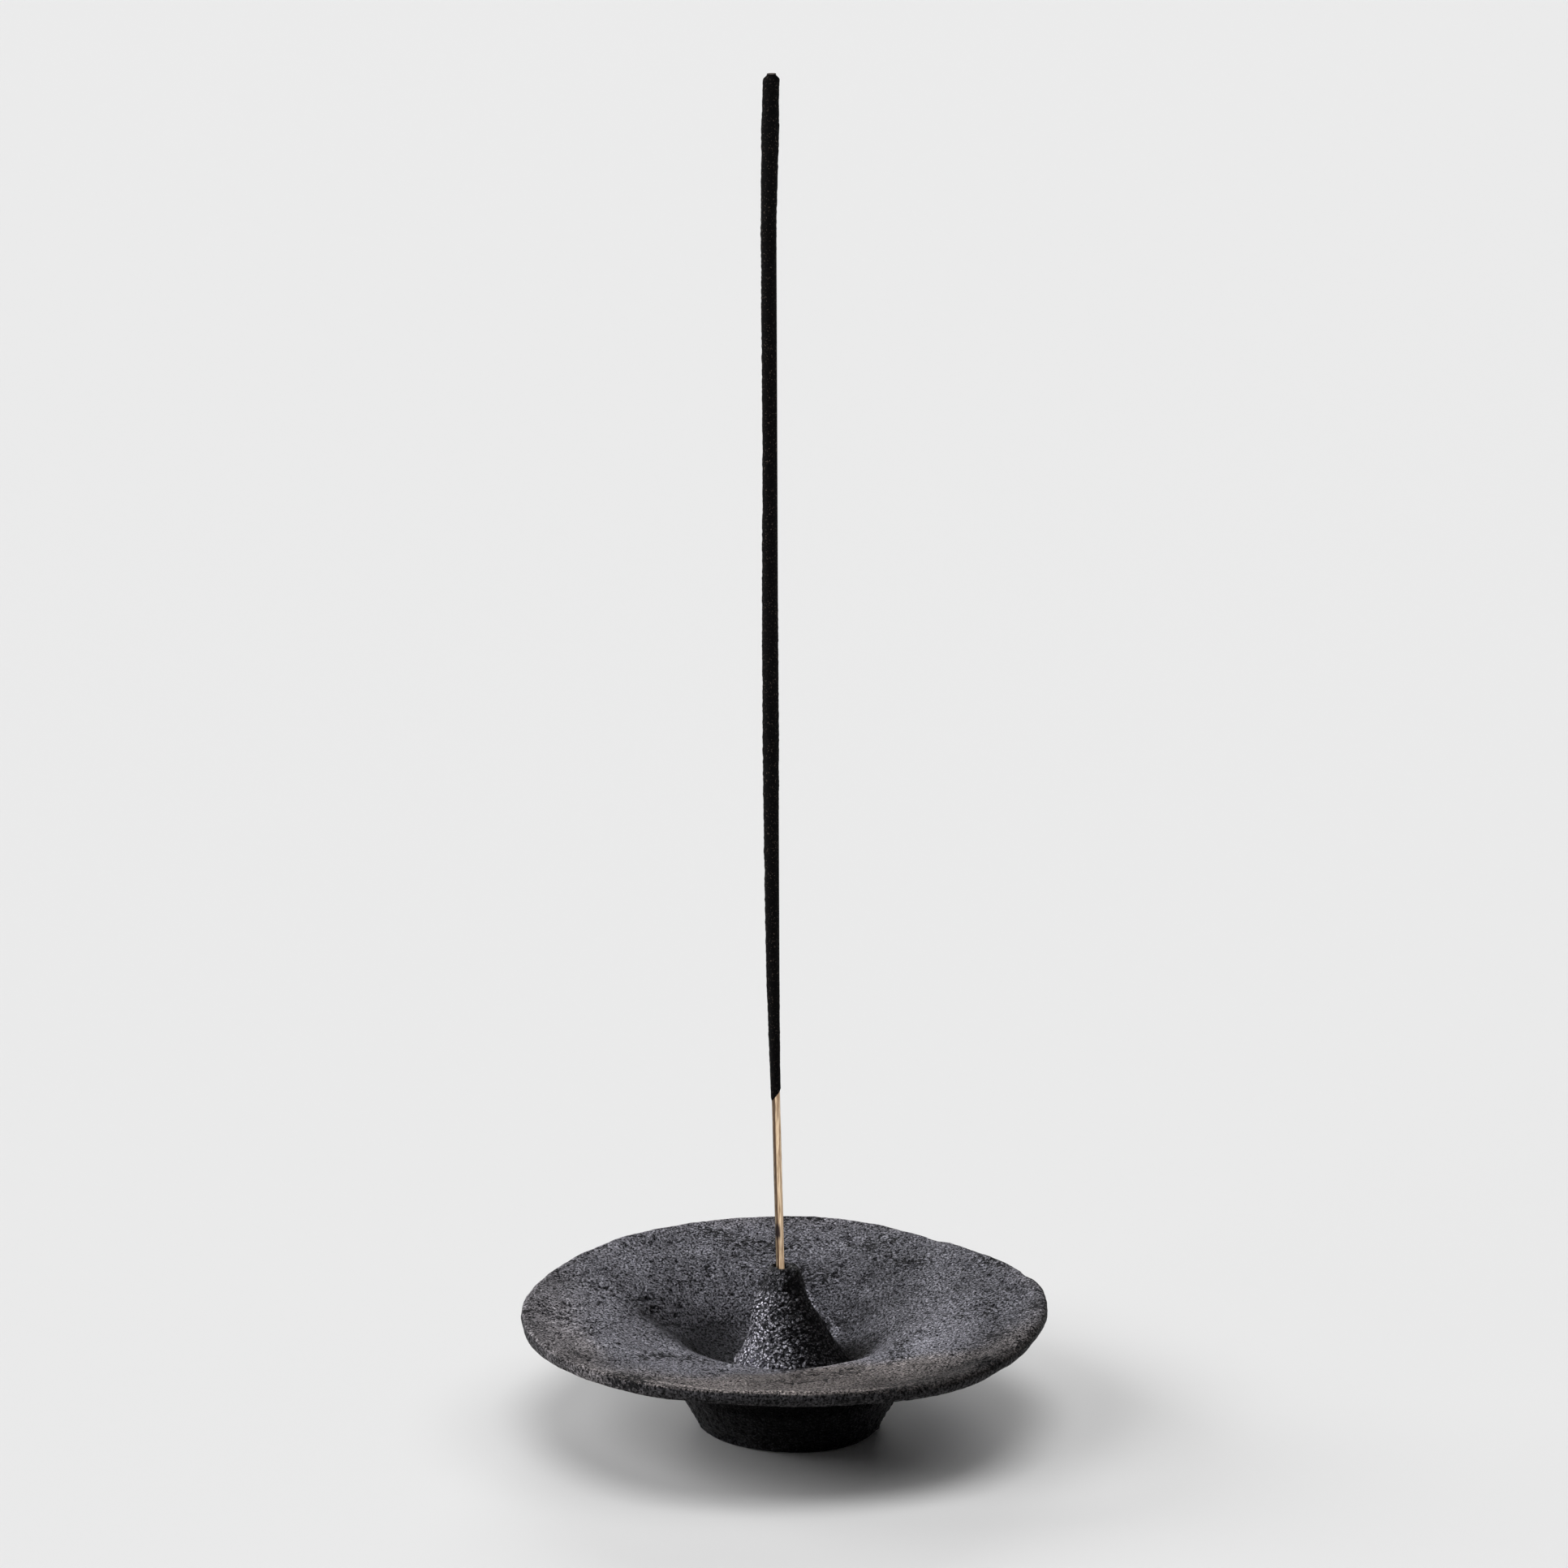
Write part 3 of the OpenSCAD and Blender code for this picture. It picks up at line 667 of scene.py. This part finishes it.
core.data.materials.append(split_bamboo())
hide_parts("bamboo_core")
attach(core, "stick")


# ---------------------------------------------------------------------------------------------
# The incense paste: charcoal and wood powder in gum, rolled round the bamboo between the palms and
# dried. It swells and shrinks a little along its length, and starts and ends unevenly.
# ---------------------------------------------------------------------------------------------
paste_r = 1.3
PASTE_SIDES = 40
around = np.arange(PASTE_SIDES) * 2 * math.pi / PASTE_SIDES
paste_h = np.linspace(0, stick_len - bare_len, 900)[:, None]
swell = 0.09 * np.cos(2 * math.pi * (paste_h - 75) / 98)
girth = mix(core_r + 0.12, paste_r * (1 + swell), ease((paste_h + 3) / 36))
girth = girth + 0.1 * np.exp(-((paste_h - 171) / 4) ** 2)
end_round = np.sqrt(np.clip((stick_len - bare_len - paste_h) / 0.9, 0.05, 1))
slant = (0.9 * np.cos(around) + 0.35) * (1 - ease(paste_h / 12))
flat = np.stack(np.broadcast_arrays(np.cos(around) * paste_r, np.sin(around) * paste_r, paste_h), axis=-1)
grain = 0.07 * lumps(flat, 5.0, 41) + 0.05 * lumps(flat, 1.4, 42) + 0.06 * lumps(flat, 0.55, 43)
start_skin = ease(paste_h / 0.5)
skin_r = mix(core_r + 0.02, girth * end_round + grain * mix(0.4, 1, ease(paste_h / 20)), start_skin)
skin_r = np.maximum(skin_r, core_r + 0.02)
height_up = bare_len + paste_h + slant
outside = up_the_stick(skin_r * np.cos(around), skin_r * np.sin(around), np.minimum(height_up, stick_len))
inside_h = height_up[[-1, 0]]
inside = up_the_stick(core_r * np.cos(around), core_r * np.sin(around), np.minimum(inside_h, stick_len))
paste = stick_piece("incense_paste", np.concatenate([outside, inside]), True)


def charcoal_paste():
    """Charcoal paste, dried: nearly black and dead matte, with tiny specks of paler wood powder."""
    material, tree = bare_material("charcoal_paste")
    place = add(tree, "TexCoord", {}).outputs["Object"]
    grains = add(tree, "TexNoise", {"Vector": place, "Scale": per_mm(0.32), "Detail": 3.0,
                                    "Roughness": 0.7}).outputs["Fac"]
    dust = add(tree, "MapRange", {"Value": grains, "From Min": 0.6, "From Max": 0.72}).outputs[0]
    body = add(tree, "Mix", {0: dust, 6: colour("#050405"), 7: colour("#6b5f57")},
               data_type="RGBA").outputs[2]
    bump = add(tree, "Bump", {"Height": grains, "Distance": 0.12 * MM}).outputs[0]
    shader = add(tree, "BsdfPrincipled", {"Base Color": body, "Roughness": 0.9, "Normal": bump,
                                          "IOR": 1.5, "Specular IOR Level": 0.15}).outputs[0]
    add(tree, "OutputMaterial", {"Surface": shader})
    return material


paste.data.materials.append(charcoal_paste())
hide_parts("incense_paste")
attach(paste, "stick")


# ---------------------------------------------------------------------------------------------
# The studio: a flat floor of pale matte paper. A wide key light on the left shapes the clay, with weak
# ones overhead and behind, and one in front for the bamboo. Flags keep them off the paper, whose own
# soft lights give the burner its broad shadow.
# ---------------------------------------------------------------------------------------------
floor_mesh = bpy.data.meshes.new("studio_floor")
floor_mesh.from_pydata([(-6, -6, 0), (6, -6, 0), (6, 12, 0), (-6, 12, 0)], [], [(0, 1, 2, 3)])
studio_floor = placed("studio_floor", floor_mesh)
paper = bpy.data.materials.new("studio_paper")
paper.use_nodes = True
paper_shader = paper.node_tree.nodes["Principled BSDF"]
paper_shader.inputs["Base Color"].default_value = colour("#e6e6e6")
paper_shader.inputs["Roughness"].default_value = 0.9
floor_mesh.materials.append(paper)

camera = placed("camera", bpy.data.cameras.new("camera"))
camera.data.lens = 150
camera.data.sensor_width = 36
camera.data.clip_end = 40
camera.location = (0.0, -1.089, 0.418)
camera.rotation_euler = (math.radians(90 - 15.424), 0, 0)
bpy.context.scene.camera = camera


def soft_light(name, strength, width, height, side, falls_on=(), tint="#ffffff"):
    """A distant light this many degrees wide, at this height above the floor. The side is the
    direction it comes from: 0 is the right, 90 the back, 180 the left and 270 the front. It is
    flagged off from everything but what it falls on, if that is given."""
    lamp = placed(name, bpy.data.lights.new(name, "SUN"))
    lamp.data.energy = strength
    lamp.data.color = colour(tint)[:3]
    lamp.data.angle = math.radians(width)
    lamp.rotation_euler = (0, math.radians(90 - height), math.radians(side))
    if falls_on:
        lit = bpy.data.collections.new(name + "_falls_on")
        for piece in falls_on:
            lit.objects.link(piece)
        lamp.light_linking.receiver_collection = lit


burner = [foot, foot_coil, dish, cone_coil, cone]
soft_light("overhead", 0.6, 46, 79, 300, [*burner, core, paste])
soft_light("key", 6.2, 34, 34, 184, burner, "#f4f6ff")
soft_light("paste_key", 2.2, 34, 34, 184, [paste])
soft_light("front", 3.6, 40, 30, 297, [core])
soft_light("behind", 0.6, 40, 24, 108, [*burner, core, paste])
soft_light("floor_overhead", 1.17, 34, 78, 270, [studio_floor])
soft_light("floor_right", 0.47, 34, 60, 0, [studio_floor])
soft_light("floor_left", 1.1, 34, 40, 210, [studio_floor])
soft_light("floor_low_left", 1.15, 34, 22, 160, [studio_floor])
soft_light("floor_behind", 1.0, 34, 22, 90, [studio_floor])
world = bpy.data.worlds.new("studio")
world.use_nodes = True
backdrop = world.node_tree.nodes["Background"]
backdrop.inputs["Color"].default_value = (1, 1, 1, 1)
backdrop.inputs["Strength"].default_value = 0.05
bpy.context.scene.world = world
bpy.context.scene.view_settings.view_transform = "Standard"
